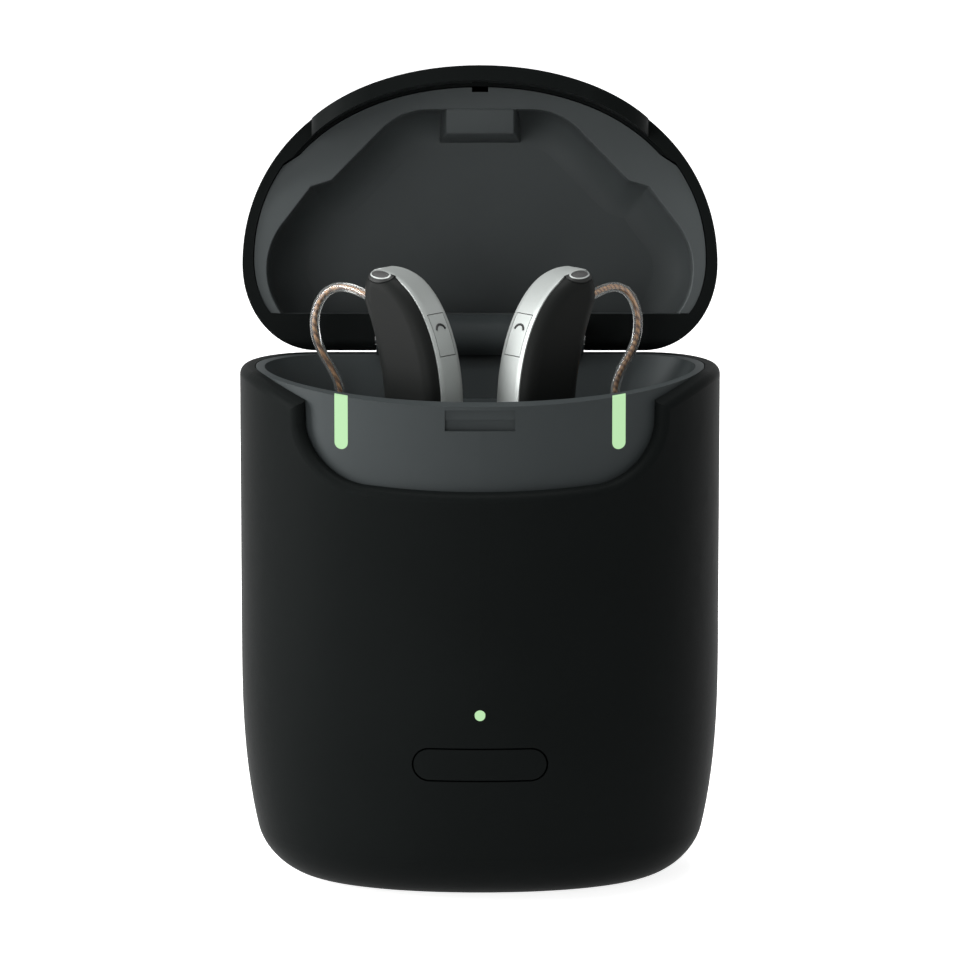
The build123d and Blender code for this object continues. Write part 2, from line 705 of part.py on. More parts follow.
def lid_shell():
    """The black lid: a hollow dome with a tongue over the scoop, hinge rails and a nub."""
    rim = RIM_HEIGHT + PARTING_GAP
    dome = lid_block(0) - lid_block(LID_WALL)
    upper = box_between((-FAR, -FAR, rim), (FAR, FAR, LID_TOP))
    dome += (lid_block(0) - lid_block(LID_FRONT_WALL)) & front_zone() & upper
    dome += (prism(0, SCOOP_BOTTOM - 1, rim) - prism(TONGUE_WALL, SCOOP_BOTTOM - 2, rim + 1)) & front_zone()
    dome = dome & parting_space(PARTING_GAP)
    for side in (-1, 1):
        inner = side * (KNUCKLE_LENGTH / 2 + KNUCKLE_CLEARANCE)
        outer = side * LID_RAIL_END
        rail = box_between(
            (min(inner, outer), BACK_FACE - LID_RAIL_DEPTH, rim),
            (max(inner, outer), BACK_FACE, rim + LID_RAIL_HEIGHT),
        )
        dome += rail & lid_block(0)
    under = box_between((-FAR, HINGE_Y, SCOOP_BOTTOM), (FAR, FAR, HINGE_Z))
    dome -= under - hinge_rod(HINGE_ABOVE_RIM - PARTING_GAP, FAR)
    dome -= hinge_rod(KNUCKLE_RADIUS + KNUCKLE_CLEARANCE, KNUCKLE_LENGTH / 2 + KNUCKLE_CLEARANCE)
    dome -= hinge_rod(PIN_DIAMETER / 2 + PIN_CLEARANCE, PIN_LENGTH / 2 + PIN_CLEARANCE)
    face = FRONT_FACE + TONGUE_WALL
    dome += box_between(
        (-NUB_WIDTH / 2, face - TONGUE_WALL / 4, NUB_LEVEL - NUB_HEIGHT / 2),
        (NUB_WIDTH / 2, face + NUB_DEPTH, NUB_LEVEL + NUB_HEIGHT / 2),
    )
    return opened(dome)


def lid_hollow(back):
    """The lobed hollow over the aids, with walls that round into its ceiling."""

    def corner(place):
        return (SIDE_FACE - place[0], FRONT_FACE + place[1])

    start = (SIDE_FACE - LOBE_BACK_WALL, back)
    middle = (SIDE_FACE - LOBE_SIDE_WALL, FRONT_FACE + LOBE_MIDDLE)
    end = (0, corner(CENTRE_LOBE_FRONT)[1])
    right = [
        ThreePointArc(start, middle, corner(LOBE_SHOULDER)),
        Line(corner(LOBE_SHOULDER), corner(LOBE_CORNER)),
        Line(corner(LOBE_CORNER), corner(LOBE_JOINT)),
        Line(corner(LOBE_JOINT), corner(CENTRE_LOBE_SIDE)),
        ThreePointArc(corner(CENTRE_LOBE_SIDE), corner(CENTRE_LOBE_TURN), corner(CENTRE_LOBE_FRONT)),
        Line(corner(CENTRE_LOBE_FRONT), end),
    ]
    left = [mirror(edge, about=Plane.YZ) for edge in right]
    sketch = make_face(right + left + [Line((-start[0], back), start)])
    foot = RIM_HEIGHT + LINER_RIM - 1
    ceiling = LID_TOP - LID_WALL - LINER_CLEARANCE - LINER_CEILING
    hollow = extrude(Pos(0, 0, foot) * sketch, ceiling - foot, dir=(0, 0, 1))
    top = hollow.edges().group_by(Axis.Z)[-1]
    walls = [edge for edge in top if abs(edge.center().Y - back) > 1]
    return fillet(walls, HOLLOW_ROUND)


def lid_liner():
    """The grey liner: a lobed hollow over the aids, with a latch block at its front."""
    outer = lid_block(LID_WALL + LINER_CLEARANCE)
    outer -= front_zone() - lid_block(LID_FRONT_WALL + LINER_CLEARANCE)
    rim = RIM_HEIGHT + LINER_RIM
    over_rails = RIM_HEIGHT + PARTING_GAP + LID_RAIL_HEIGHT + PARTING_GAP
    back = BACK_FACE - LID_RAIL_DEPTH - SEAT_GAP * 2
    body = outer & (
        box_between((-FAR, -FAR, rim), (FAR, back, LID_TOP))
        + box_between((-FAR, -FAR, over_rails), (FAR, back + LINER_BACK_WALL, LID_TOP))
    )
    liner = body - lid_hollow(back)
    front = FRONT_FACE + CENTRE_LOBE_FRONT[1]
    latch_back = FRONT_FACE + LATCH_FROM_FRONT
    end = Pos(0, (front - 1 + latch_back) / 2, rim + LATCH_SET_IN) * Rectangle(
        LATCH_WIDTH, latch_back - front + 1
    )
    latch = extrude(end, LID_TOP - rim - LATCH_SET_IN, dir=(0, 0, 1), taper=-LATCH_DRAFT)
    liner += latch & outer
    land_front = FRONT_FACE + LID_FRONT_WALL
    liner -= box_between(
        (-NOTCH_LENGTH / 2, land_front, rim - 1),
        (NOTCH_LENGTH / 2, land_front + NOTCH_DEPTH, rim + NOTCH_LENGTH),
    )
    liner -= hinge_rod(KNUCKLE_RADIUS + KNUCKLE_CLEARANCE, KNUCKLE_LENGTH / 2 + KNUCKLE_CLEARANCE)
    return opened(liner)


def status_light():
    """The round light guide in the shell's front, with a collar behind the wall."""
    end = BOARD_FRONT - LED_HEIGHT - PARTING_GAP
    guide = rod(STATUS_DIAMETER, (0, -FAR, STATUS_HEIGHT), (0, end, STATUS_HEIGHT))
    wall = SHELL_WALL + PARTING_GAP
    collar = rod(2 * STATUS_DIAMETER, (0, -FAR, STATUS_HEIGHT), (0, end, STATUS_HEIGHT))
    collar &= body_block(wall, CAVITY_FOOT) - body_block(wall + COLLAR_THICKNESS, CAVITY_FOOT)
    return (guide & body_block(0, BASE_HEIGHT)) + collar


def pairing_button():
    """The stadium-shaped button, flush with the shell, with a flange behind the wall."""
    cap = through_front(stadium(BUTTON_LENGTH, BUTTON_WIDTH), BUTTON_HEIGHT, -FAR, BUTTON_BACK)
    cap &= body_block(0, BASE_HEIGHT)
    flange = through_front(
        stadium(BUTTON_LENGTH + 2 * BUTTON_FLANGE, BUTTON_WIDTH + 2 * BUTTON_FLANGE),
        BUTTON_HEIGHT,
        -FAR,
        BUTTON_BACK,
    )
    return cap + (flange & body_block(SHELL_WALL + PARTING_GAP, CAVITY_FOOT))


def switch_plunger():
    """The post behind the button that reaches for the key switch."""
    return rod(PLUNGER_DIAMETER, (0, BUTTON_BACK, BUTTON_HEIGHT), (0, PLUNGER_END, BUTTON_HEIGHT))


def key_switch():
    """The square switch on the main board's front."""
    front = BOARD_FRONT - SWITCH_DEPTH
    half = SWITCH_SIZE / 2
    return box_between((-half, front, BUTTON_HEIGHT - half), (half, BOARD_FRONT, BUTTON_HEIGHT + half))


def main_board():
    """The upright circuit board."""
    board = box_between(
        (-MAIN_BOARD_HALF, BOARD_FRONT, MAIN_BOARD_FOOT),
        (MAIN_BOARD_HALF, BOARD_BACK, MAIN_BOARD_TOP),
    )
    for x, z in BOARD_SCREW_PLACES:
        board -= screw((x, BOARD_FRONT, z), (0, 1, 0), BOARD_SCREW_LENGTH, SEAT_GAP)
    return board


def board_leds():
    """Three LEDs: one behind the status light, one under each light bar's stem."""
    half = LED_SIZE / 2
    low = STATUS_HEIGHT - half
    high = STATUS_HEIGHT + half
    leds = [box_between((-half, BOARD_FRONT - LED_HEIGHT, low), (half, BOARD_FRONT, high))]
    y = stem_depth()
    for x in (-STEM_X, STEM_X):
        corner = (x + half, y + half, CONTACT_TOP + LED_HEIGHT)
        leds.append(box_between((x - half, y - half, CONTACT_TOP), corner))
    return Compound(leds)


def battery_cell():
    """The flat rechargeable cell."""
    cell = box_between(
        (-BATTERY_WIDTH / 2, BATTERY_BACK - BATTERY_DEPTH, BATTERY_FOOT),
        (BATTERY_WIDTH / 2, BATTERY_BACK, BATTERY_TOP),
    )
    return fillet(cell.edges().filter_by(Axis.Z), BATTERY_ROUND)


def inner_frame():
    """The frame that carries battery and boards and hangs under the tray."""
    inside = FRAME_HALF - FRAME_WALL
    back = FRAME_BACK - FRAME_WALL
    base = CAVITY_FOOT + SEAT_GAP
    frame = box_between((-FRAME_HALF, back, FRAME_FOOT), (FRAME_HALF, FRAME_BACK, FRAME_TOP))
    frame -= box_between(
        (-FRAME_WINDOW / 2, back - 1, FRAME_WINDOW_FOOT),
        (FRAME_WINDOW / 2, FRAME_BACK + 1, FRAME_WINDOW_TOP),
    )
    frame += box_between((-FRAME_HALF, FRAME_FRONT, base), (FRAME_HALF, FRAME_BACK, FRAME_FOOT))
    shelf = BATTERY_FOOT - BATTERY_GAP
    frame += box_between(
        (-inside, BATTERY_BACK - BATTERY_DEPTH, shelf - SHELF_THICKNESS), (inside, back, shelf)
    )
    stop = BATTERY_TOP + BATTERY_GAP
    frame += box_between((-inside, back - SHELF_REACH, stop), (inside, back, stop + SHELF_THICKNESS))
    for side in (-1, 1):
        wall = box_between((-FRAME_HALF, FRAME_FRONT, FRAME_FOOT), (-inside, FRAME_BACK, FRAME_TOP))
        frame += beside(wall, side)
        wing_end = SIDE_FACE - SIDE_POST_IN + WING_DEPTH / 2
        wing = box_between(
            (-wing_end, SIDE_POST_Y - WING_DEPTH / 2, FRAME_TOP - FRAME_WALL),
            (-inside, SIDE_POST_Y + WING_DEPTH / 2, FRAME_TOP),
        )
        frame += beside(wing, side)
    for x, z in BOARD_SCREW_PLACES:
        side = 1 if x > 0 else -1
        block = box_between(
            (BOARD_SCREW_HALF - BOARD_EDGE, BOARD_BACK + SEAT_GAP, z - BOARD_BLOCK / 2),
            (inside, FRAME_FRONT + 1, z + BOARD_BLOCK / 2),
        )
        frame += beside(block, -side)
    for x in BASE_SCREW_PLACES:
        frame += rod(POST_DIAMETER, (x, 0, base), (x, 0, FRAME_FOOT + POST_HEIGHT))
    frame += box_between(
        (-PORT_BOARD_HALF, back, PORT_BOARD_FOOT - PORT_SHELF),
        (PORT_BOARD_HALF, PORT_BOARD_BACK, PORT_BOARD_FOOT - SEAT_GAP),
    )
    slot = FLEX_HALF + FLEX_SLOT
    frame -= box_between(
        (-slot, back - 1, PORT_BOARD_TOP), (slot, FRAME_BACK + 1, PORT_BOARD_TOP + FLEX_SLOT_HEIGHT)
    )
    frame &= body_block(SHELL_WALL + PARTING_GAP, base)
    for x in BASE_SCREW_PLACES:
        frame -= screw((x, 0, BASE_SCREW_HEAD), (0, 0, 1), BASE_SCREW_LENGTH, SEAT_GAP)
    for x, z in BOARD_SCREW_PLACES:
        frame -= screw((x, BOARD_FRONT, z), (0, 1, 0), BOARD_SCREW_LENGTH, SEAT_GAP)
    for x, y in SIDE_POSTS:
        frame -= screw((x, y, FRAME_TOP - FRAME_WALL), (0, 0, 1), TRAY_SCREW_LENGTH, SEAT_GAP)
    return frame


def contact_board():
    """The board under the wells that feeds the contact pins and the bar LEDs."""
    board = prism(CONTACT_INSET, CONTACT_TOP - BOARD_THICKNESS, CONTACT_TOP)
    for x, y in SIDE_POSTS:
        board -= rod(POST_DIAMETER + 2 * PARTING_GAP, (x, y, FRAME_TOP), (x, y, CONTACT_TOP + 1))
    for x, y in DECK_POSTS:
        board -= rod(SCREW_DIAMETER + 2 * SEAT_GAP, (x, y, FRAME_TOP), (x, y, CONTACT_TOP + 1))
    return board


def contact_pins(grow=0):
    """The two spring contacts under the left aid's foot."""
    pins = []
    for shift in (-PIN_PITCH / 2, PIN_PITCH / 2):
        pins.append(
            rod(
                CONTACT_PIN + 2 * grow,
                (AID_FOOT_CENTRE + shift, 0, CONTACT_TOP),
                (AID_FOOT_CENTRE + shift, 0, AID_FOOT - PARTING_GAP),
            )
        )
    return Pos(AID_TIP_X, AID_TIP_Y, 0) * Rot(0, 0, -AID_YAW) * Compound(pins)


def charging_socket():
    """The charging socket: a stadium-shaped metal sleeve with a tongue inside."""
    sleeve = through_front(stadium(SOCKET_WIDTH, SOCKET_HEIGHT), SOCKET_CENTRE, SOCKET_FRONT, SOCKET_FACE)
    mouth = stadium(SOCKET_WIDTH - 2 * SOCKET_SHELL, SOCKET_HEIGHT - 2 * SOCKET_SHELL)
    sleeve -= through_front(mouth, SOCKET_CENTRE, SOCKET_FRONT + SOCKET_BACK, FAR)
    tongue = box_between(
        (-TONGUE_WIDTH / 2, SOCKET_FRONT + SOCKET_BACK / 2, SOCKET_CENTRE - TONGUE_THICKNESS / 2),
        (TONGUE_WIDTH / 2, SOCKET_FACE - TONGUE_SHORT, SOCKET_CENTRE + TONGUE_THICKNESS / 2),
    )
    return sleeve + tongue


def port_board():
    """The small board under the charging socket."""
    return box_between(
        (-PORT_BOARD_HALF, FRAME_BACK + SEAT_GAP, PORT_BOARD_FOOT),
        (PORT_BOARD_HALF, PORT_BOARD_BACK, PORT_BOARD_TOP),
    )


def flex_cable():
    """The flat flexible cable from the port board to the back of the main board."""
    low = PORT_BOARD_TOP + SEAT_GAP
    start = BOARD_BACK + SEAT_GAP
    strip = box_between((-FLEX_HALF, start, low), (FLEX_HALF, FRAME_BACK + FLEX_TAIL, low + FLEX_THICKNESS))
    strip += box_between((-FLEX_HALF, start, low), (FLEX_HALF, start + FLEX_THICKNESS, low + FLEX_RISE))
    return strip


def base_screws():
    """The screws under the foot pad."""
    places = [(x, 0, BASE_SCREW_HEAD) for x in BASE_SCREW_PLACES]
    return Compound([screw(place, (0, 0, 1), BASE_SCREW_LENGTH) for place in places])


def tray_screws():
    """The screws that join frame and contact board to the tray's posts."""
    screws = []
    for x, y in SIDE_POSTS:
        screws.append(screw((x, y, FRAME_TOP - FRAME_WALL), (0, 0, 1), TRAY_SCREW_LENGTH))
    for x, y in DECK_POSTS:
        screws.append(screw((x, y, CONTACT_TOP - BOARD_THICKNESS), (0, 0, 1), TRAY_SCREW_LENGTH))
    return Compound(screws)


def board_screws():
    """The screws that hold the main board on the frame."""
    places = [(x, BOARD_FRONT, z) for x, z in BOARD_SCREW_PLACES]
    return Compound([screw(place, (0, 1, 0), BOARD_SCREW_LENGTH) for place in places])


def aid_block(grow=0):
    """The aid's body as a slab with its side profile, in its own frame."""
    top = AID_TOP + grow
    foot = AID_FOOT - grow
    reach = AID_REACH + grow
    neck = AID_NECK - grow
    ear = AID_EAR_SIDE - grow
    hollow = AID_HOLLOW_X - grow
    edges = [
        bend((AID_CROWN, top), (reach, top), (reach, AID_WAIST)),
        bend((reach, AID_WAIST), (reach, foot), (AID_FOOT_CENTRE, foot)),
        bend((AID_FOOT_CENTRE, foot), (ear, foot), (ear, AID_EAR_HEIGHT)),
        ThreePointArc((ear, AID_EAR_HEIGHT), (hollow, AID_HOLLOW_HEIGHT), (neck, AID_NECK_FOOT)),
        Line((neck, AID_NECK_FOOT), (neck, AID_NECK_TOP)),
        bend((neck, AID_NECK_TOP), (neck, top), (AID_CROWN, top)),
    ]
    half = AID_THICKNESS / 2 + grow
    return front_cut(edges, -half, half)


def aid_form(grow=0):
    """The aid's body with its long edges rounded."""
    body = aid_block(grow)
    half = AID_THICKNESS / 2 + grow
    edges = [edge for edge in body.edges() if abs(abs(edge.center().Y) - half) < TOUCHING]
    return fillet(edges, AID_EDGE + grow)


def button_axis():
    """The plane on the spine in which the aid's button lies, facing outwards."""
    spine = bend((AID_CROWN, AID_TOP), (AID_REACH, AID_TOP), (AID_REACH, AID_WAIST))
    place = spine @ AID_BUTTON_SHARE
    along = spine % AID_BUTTON_SHARE
    return Plane(origin=(place.X, 0, place.Y), x_dir=(0, 1, 0), z_dir=(-along.Y, 0, along.X))


def button_space(grow, depth):
    """The space of an aid's button, along its own press direction."""
    width = AID_BUTTON_WIDTH + 2 * grow
    height = AID_BUTTON_HEIGHT + 2 * grow
    return button_axis() * Pos(0, 0, (2 - depth) / 2) * Box(width, height, depth + 2)


def port_plane():
    """The plane of the microphone port on the aid's shoulder."""
    return Plane(origin=(PORT_X, PORT_Y, AID_TOP - PORT_BELOW_TOP), x_dir=(1, 0, 0), z_dir=PORT_OUT)


def port_oval(grow, low, high):
    """The port's oval between two depths along its own direction."""
    oval = port_plane() * Pos(0, 0, low) * Ellipse(PORT_LENGTH / 2 + grow, PORT_WIDTH / 2 + grow)
    return extrude(oval, high - low)


def spine_region(gap):
    """Where the silver cover lies: a strip along the spine, pointed at its tip, and the port's ring."""
    half = SPINE_WIDTH / 2 + gap
    tip = SPINE_TIP_WIDTH / 2 + gap
    start = SPINE_TIP - gap
    reach = AID_REACH + 2
    near = [(start, tip), (SPINE_TAPER_END, half), (reach, half)]
    plan = near + [(x, -y) for x, y in reversed(near)]
    strip = extrude(make_face(Polyline(*plan, close=True)), 2 * LID_TOP, dir=(0, 0, 1))
    skin = aid_block(1) - aid_block(-SPINE_DEPTH - gap)
    outer = box_between((AID_FOOT_CENTRE, -FAR, 0), (FAR, FAR, LID_TOP))
    outer += box_between((start, -FAR, AID_NECK_TOP + SPINE_DEPTH / 2), (FAR, FAR, LID_TOP))
    outer += box_between((AID_HOLLOW_X + 2 * SPINE_DEPTH, -FAR, AID_HOLLOW_HEIGHT), (FAR, FAR, LID_TOP))
    return (strip & skin & outer) + port_oval(PORT_RING + gap, -PORT_DEPTH - gap, 1)


def aid_housing():
    """The dark body of the aid, hollowed for spine cover, button, port and wire."""
    body = aid_form() - spine_region(SPINE_CLEARANCE)
    depth = AID_BUTTON_DEPTH + AID_BUTTON_TRAVEL + AID_BUTTON_CLEARANCE
    return body - button_space(AID_BUTTON_CLEARANCE, depth)


def aid_spine_cover():
    """The silver cover along the aid's spine, with its port's ring and an opening for the button."""
    cover = aid_form(SPINE_PROUD) & spine_region(0)
    cover -= button_space(AID_BUTTON_CLEARANCE, AID_BUTTON_DEPTH)
    return cover - port_oval(0, -PORT_DEPTH - 1, 1)


def microphone_port():
    """The dark mesh plug in the port's ring, a little below its surface."""
    plug = port_oval(-SEAT_GAP, -PORT_DEPTH, 1)
    return plug & aid_form(SPINE_PROUD - PORT_SUNK)


def aid_push_button():
    """The silver push button in the spine cover."""
    return button_space(0, AID_BUTTON_DEPTH) & aid_form(SPINE_PROUD)


def wire_route():
    """The pre-formed path of the receiver wire on the left, with its bend radii."""
    points = [Vector(*point) for point in WIRE_POINTS]
    radii = []
    for before, here, after in zip(points, points[1:], points[2:]):
        turn = (here - before).get_angle(after - here)
        shorter = min((here - before).length, (after - here).length)
        radii.append(BEND_SHARE * shorter / tan(radians(turn / 2)))
    return FilletPolyline(*points, radius=radii), radii


def receiver_wire(grow=0):
    """The clear wire from the aid to its receiver, swept along its route."""
    route = wire_route()[0]
    section = Plane(origin=route @ 0, z_dir=route % 0) * Circle(WIRE_DIAMETER / 2 + grow)
    return sweep(section, path=route)


def receiver():
    """The receiver in the tray's side trough, with the snout that carries the dome."""
    x, back, z = RECEIVER_BACK
    front = back - RECEIVER_LENGTH
    case = rod(RECEIVER_DIAMETER, (x, back, z), (x, front, z))
    case = fillet(case.edges(), RECEIVER_EDGE)
    case -= rod(WIRE_DIAMETER, (x, back + 1, z), (x, back - WIRE_SEAT, z))
    return case + rod(SNOUT_DIAMETER, (x, front + WIRE_SEAT / 2, z), (x, front - SNOUT_LENGTH, z))


def ear_dome():
    """The soft dome on the receiver's snout: a thin cap round a core."""
    outer = DOME_DIAMETER / 2
    bore = SNOUT_DIAMETER / 2 + SEAT_GAP
    core = bore + DOME_WALL
    length = DOME_LENGTH
    inner = outer - DOME_WALL
    edges = [
        Line((bore, DOME_WALL), (bore, length)),
        Line((bore, length), (core, length)),
        bend((core, length), (outer, length), (outer, 0)),
        Line((outer, 0), (inner, 0)),
        bend((inner, 0), (inner, length - DOME_WALL), (core, length - DOME_WALL)),
        Line((core, length - DOME_WALL), (core, DOME_WALL)),
        Line((core, DOME_WALL), (bore, DOME_WALL)),
    ]
    cap = revolve(Plane.XZ * make_face(edges), Axis.Z)
    x, back, z = RECEIVER_BACK
    base = back - RECEIVER_LENGTH - PARTING_GAP
    return Pos(x, base, z) * Rot(90, 0, 0) * cap


def single_parts():
    """Every piece of the case that occurs once."""
    return {
        "outer_shell": outer_shell,
        "foot_pad": foot_pad,
        "charging_tray": charging_tray,
        "hinge_knuckle": hinge_knuckle,
        "hinge_pin": hinge_pin,
        "status_light": status_light,
        "pairing_button": pairing_button,
        "switch_plunger": switch_plunger,
        "key_switch": key_switch,
        "main_board": main_board,
        "board_leds": board_leds,
        "battery_cell": battery_cell,
        "inner_frame": inner_frame,
        "contact_board": contact_board,
        "charging_socket": charging_socket,
        "port_board": port_board,
        "flex_cable": flex_cable,
        "base_screws": base_screws,
        "tray_screws": tray_screws,
        "board_screws": board_screws,
        "lid_shell": lid_shell,
        "lid_liner": lid_liner,
    }


def paired_parts():
    """Every piece that has a left and a right one, as it stands on the left."""
    housing = at_aid(aid_housing(), -1) - receiver_wire(SPINE_CLEARANCE)
    return {
        "aid_housing": housing,
        "aid_spine_cover": at_aid(aid_spine_cover(), -1),
        "aid_push_button": at_aid(aid_push_button(), -1),
        "microphone_port": at_aid(microphone_port(), -1),
        "receiver_wire": receiver_wire(),
        "receiver": receiver(),
        "ear_dome": ear_dome(),
        "contact_pins": contact_pins(),
        "light_bar": light_bar(-1),
    }


if __name__ == "__main__":
    for name, build in single_parts().items():
        export_step(build(), f"parts/{name}.step")
    for name, shape in paired_parts().items():
        export_step(shape, f"parts/left_{name}.step")
        export_step(beside(shape, 1), f"parts/right_{name}.step")
    route, radii = wire_route()
    print("wire length", round(route.length, 2), "bend radii", [round(r, 2) for r in radii])
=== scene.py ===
import math

import bmesh
import bpy
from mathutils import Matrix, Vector
from mathutils.bvhtree import BVHTree


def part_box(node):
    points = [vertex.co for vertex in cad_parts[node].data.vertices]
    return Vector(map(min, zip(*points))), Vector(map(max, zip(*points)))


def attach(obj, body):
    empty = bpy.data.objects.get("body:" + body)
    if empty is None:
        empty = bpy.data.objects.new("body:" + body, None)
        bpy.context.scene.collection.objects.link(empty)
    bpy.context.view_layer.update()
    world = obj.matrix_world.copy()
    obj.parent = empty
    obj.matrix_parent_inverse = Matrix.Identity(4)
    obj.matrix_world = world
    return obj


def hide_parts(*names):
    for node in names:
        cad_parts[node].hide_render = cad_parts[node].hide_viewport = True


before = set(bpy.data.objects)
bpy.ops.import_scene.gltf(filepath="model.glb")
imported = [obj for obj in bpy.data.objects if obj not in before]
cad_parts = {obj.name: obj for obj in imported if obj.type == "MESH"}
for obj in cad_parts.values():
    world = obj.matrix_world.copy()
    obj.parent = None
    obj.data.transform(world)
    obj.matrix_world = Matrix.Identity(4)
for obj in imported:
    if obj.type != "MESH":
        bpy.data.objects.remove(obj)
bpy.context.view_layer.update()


# Camera. The photograph looks slightly down on the case from its front, from far away, so
# the view is narrow and the case's upright edges stay nearly parallel.

VIEW_ANGLE = math.radians(9.116)
CAMERA_PLACE = (0, -0.860, 0.210)
CAMERA_TARGET = (0, 0, 0.0592)


def placed(name, data):
    """A new object of the scene that holds the data."""
    made = bpy.data.objects.new(name, data)
    bpy.context.scene.collection.objects.link(made)
    return made


def aim(thing, place, target):
    """Put a camera or a lamp in its place and turn it to its target."""
    thing.location = place
    towards = Vector(target) - Vector(place)
    thing.rotation_euler = towards.to_track_quat("-Z", "Y").to_euler()


camera_data = bpy.data.cameras.new("photo_camera")
camera_data.sensor_fit = "HORIZONTAL"
camera_data.angle = VIEW_ANGLE
camera = placed("photo_camera", camera_data)
aim(camera, CAMERA_PLACE, CAMERA_TARGET)
bpy.context.scene.camera = camera
bpy.context.scene.view_settings.view_transform = "Standard"


# Outer shell, lid shell and pairing button. Matt black moulded plastic with a soft-touch
# coat, fine spark texture all over, the button in a groove of the shell's front.

CLOUD_SCALE = 60
ROUGHNESS_SPREAD = 0.05
SPARK_HEIGHT = 0.0001


def feed(tree, source, socket):
    """Give a socket a value, or the output of another node."""
    if isinstance(source, bpy.types.NodeSocket):
        tree.links.new(source, socket)
    else:
        socket.default_value = source


def add_node(tree, kind, inputs, **settings):
    """A new node with its settings made and its inputs fed."""
    node = tree.nodes.new(kind)
    for setting, value in settings.items():
        setattr(node, setting, value)
    for name, source in inputs.items():
        feed(tree, source, node.inputs[name])
    return node


def moulded(name, colour, roughness, gloss=0.5, shade=0.12, grain=2600, depth=0.06):
    """A moulded plastic: an even colour with faint clouds, and a fine spark texture."""
    material = bpy.data.materials.new(name)
    material.use_nodes = True
    tree = material.node_tree
    shader = tree.nodes["Principled BSDF"]
    shader.inputs["Specular IOR Level"].default_value = gloss
    place = add_node(tree, "ShaderNodeTexCoord", {}).outputs["Object"]
    clouds = add_node(
        tree, "ShaderNodeTexNoise", {"Vector": place, "Scale": CLOUD_SCALE, "Detail": 4}
    )
    ends = {
        "A": [c * (1 - shade) for c in colour] + [1],
        "B": [c * (1 + shade) for c in colour] + [1],
        "Factor": clouds.outputs["Fac"],
    }
    tone = add_node(tree, "ShaderNodeMix", ends, data_type="RGBA")
    feed(tree, tone.outputs["Result"], shader.inputs["Base Color"])
    sparks = add_node(
        tree, "ShaderNodeTexNoise", {"Vector": place, "Scale": grain, "Detail": 2}
    ).outputs["Fac"]
    limits = {
        "To Min": roughness - ROUGHNESS_SPREAD,
        "To Max": roughness + ROUGHNESS_SPREAD,
        "Value": sparks,
    }
    spread = add_node(tree, "ShaderNodeMapRange", limits)
    feed(tree, spread.outputs["Result"], shader.inputs["Roughness"])
    texture = {"Strength": depth, "Distance": SPARK_HEIGHT, "Height": sparks}
    bump = add_node(tree, "ShaderNodeBump", texture)
    feed(tree, bump.outputs["Normal"], shader.inputs["Normal"])
    return material


def dress(material, *nodes):
    """Give CAD nodes their finish, in place of the material they came with."""
    for node in nodes:
        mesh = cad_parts[node].data
        mesh.materials.clear()
        mesh.materials.append(material)


soft_black = moulded("soft_black", (0.0048, 0.0057, 0.0056), 0.50, gloss=0.016)
dress(soft_black, "outer_shell", "lid_shell", "pairing_button", "switch_plunger")


# Charging tray and hinge knuckle. Satin blue-grey plastic, moulded; the tray drops into the
# shell's mouth and the knuckle stands in a slot of its back rim.

satin_grey = moulded("satin_grey", (0.030, 0.035, 0.036), 0.50, gloss=0.10)
dress(satin_grey, "charging_tray", "hinge_knuckle")


# Lid liner. One thin moulding of the same grey plastic, snapped into the lid: a flat land
# round a lobed hollow, whose walls stay inside the lid's dome and round into its floor.

liner_grey = moulded("liner_grey", (0.057, 0.064, 0.065), 0.52, gloss=0.10)

CASE_HALF_WIDTH, CASE_HALF_DEPTH = 0.035, 0.02075
BACK_FLAT = 0.024
WAIST = 0.008
BACK_FULLNESS, FRONT_FULLNESS = 0.565, 0.59
THIN_WALL, THICK_WALL = 0.00175, 0.00275
THICK_FROM = -0.00805
THICK_CORNER, THICK_SLOPE = 0.0269, 0.63
NOTCH_HALF, NOTCH_FRONT, NOTCH_BACK = 0.0012, -0.01798, -0.0173
LINER_BACK, BACK_STEP = 0.01525, 0.0002
LAND_LEVEL = 0.0756
OVER_RAILS = 0.0796
CEILING = 0.0903
WALL_ROUND, ROUND_STEPS = 0.0055, 10
EDGE_BREAK = 0.00012
EVENED_OVER = 0.0022
DOME_WALL, DOME_TURN, DOME_START = 0.0016, 0.0109, 0.0828
DOME_NEAR_TOP = 0.98
DOME_MIDDLE = 0.006
DOME_SPARE = 0.0007
LINER_SKIN = 0.0004
SHARP_FROM = math.radians(30)
HINGE_Y, HINGE_Z = 0.01905, 0.0770
LID_SWING = math.radians(98)


def opened_lid(x, y, z):
    """A point of the closed lid, swung to where the lid rests open."""
    across, up = y - HINGE_Y, z - HINGE_Z
    turn, side = math.cos(LID_SWING), math.sin(LID_SWING)
    return (x, HINGE_Y + across * turn + up * side, HINGE_Z - across * side + up * turn)


def quarter_bend(start, corner, end, handle, steps):
    """Points of a cubic quarter turn that leaves and arrives along the sides of corner."""
    near = [p + (q - p) * handle for p, q in zip(start, corner)]
    away = [p + (q - p) * handle for p, q in zip(end, corner)]
    ends = (start, near, away, end)
    points = []
    for i in range(steps + 1):
        t = i / steps
        weights = ((1 - t) ** 3, 3 * t * (1 - t) ** 2, 3 * t * t * (1 - t), t**3)
        points.append(tuple(sum(w * p[k] for w, p in zip(weights, ends)) for k in (0, 1)))
    return points


def case_side(inset):
    """The case's outline on the right, from its back's flat to the middle of its front."""
    wide, deep = CASE_HALF_WIDTH - inset, CASE_HALF_DEPTH - inset
    waist = WAIST * deep / CASE_HALF_DEPTH
    back = quarter_bend((BACK_FLAT, deep), (wide, deep), (wide, waist), BACK_FULLNESS, 32)
    front = quarter_bend((wide, waist), (wide, -deep), (0, -deep), FRONT_FULLNESS, 48)
    return back + front[1:]


